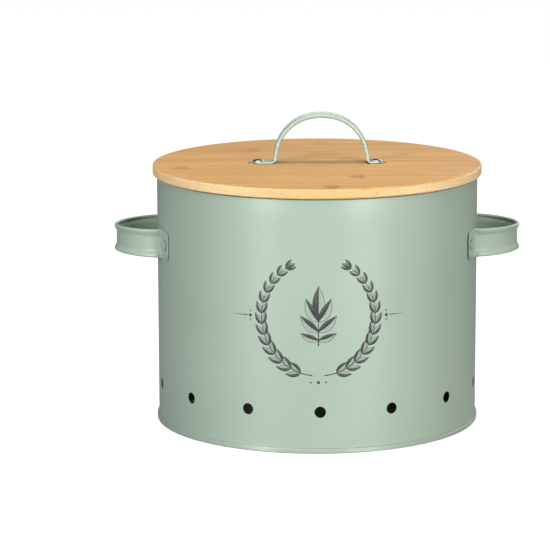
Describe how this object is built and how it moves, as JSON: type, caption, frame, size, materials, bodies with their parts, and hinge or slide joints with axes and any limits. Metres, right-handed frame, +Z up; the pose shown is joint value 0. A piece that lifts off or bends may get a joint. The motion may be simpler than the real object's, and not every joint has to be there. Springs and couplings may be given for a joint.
{
  "type": "potato storage bin",
  "caption": "Round vented steel storage bin with strip handles at its sides and a loose bamboo lid with an arched strip handle.",
  "frame": {"origin": "middle of the seam ring that the bin stands on, at ground level", "axes": "+Z up, +X through the middle of the right side handle, -Y to the front"},
  "size_m": [0.292, 0.236, 0.2215],
  "materials": {
    "sage_paint": "satin sage green powder coat on sheet steel, inside and out",
    "bamboo": "laminated bamboo strips under a thin semi-gloss lacquer",
    "bright_steel": "bright nickel plate on the screws",
    "zinc_steel": "zinc plate on the washers and nuts"
  },
  "bodies": {
    "bin": {"body_shell": "sage_paint", "base_plate": "sage_paint", "left_side_handle": "sage_paint", "right_side_handle": "sage_paint", "left_front_rivet": "sage_paint", "left_rear_rivet": "sage_paint", "right_front_rivet": "sage_paint", "right_rear_rivet": "sage_paint"},
    "lid": {"lid_board": "bamboo", "lid_handle": "sage_paint", "left_lid_screw": "bright_steel", "right_lid_screw": "bright_steel", "left_lid_washer": "zinc_steel", "right_lid_washer": "zinc_steel", "left_lid_nut": "zinc_steel", "right_lid_nut": "zinc_steel"}
  },
  "joints": [
    {"name": "lid_lift", "type": "slide", "parent": "bin", "child": "lid", "axis": [0, 0, 1], "range_m": [0, 0.15]}
  ]
}
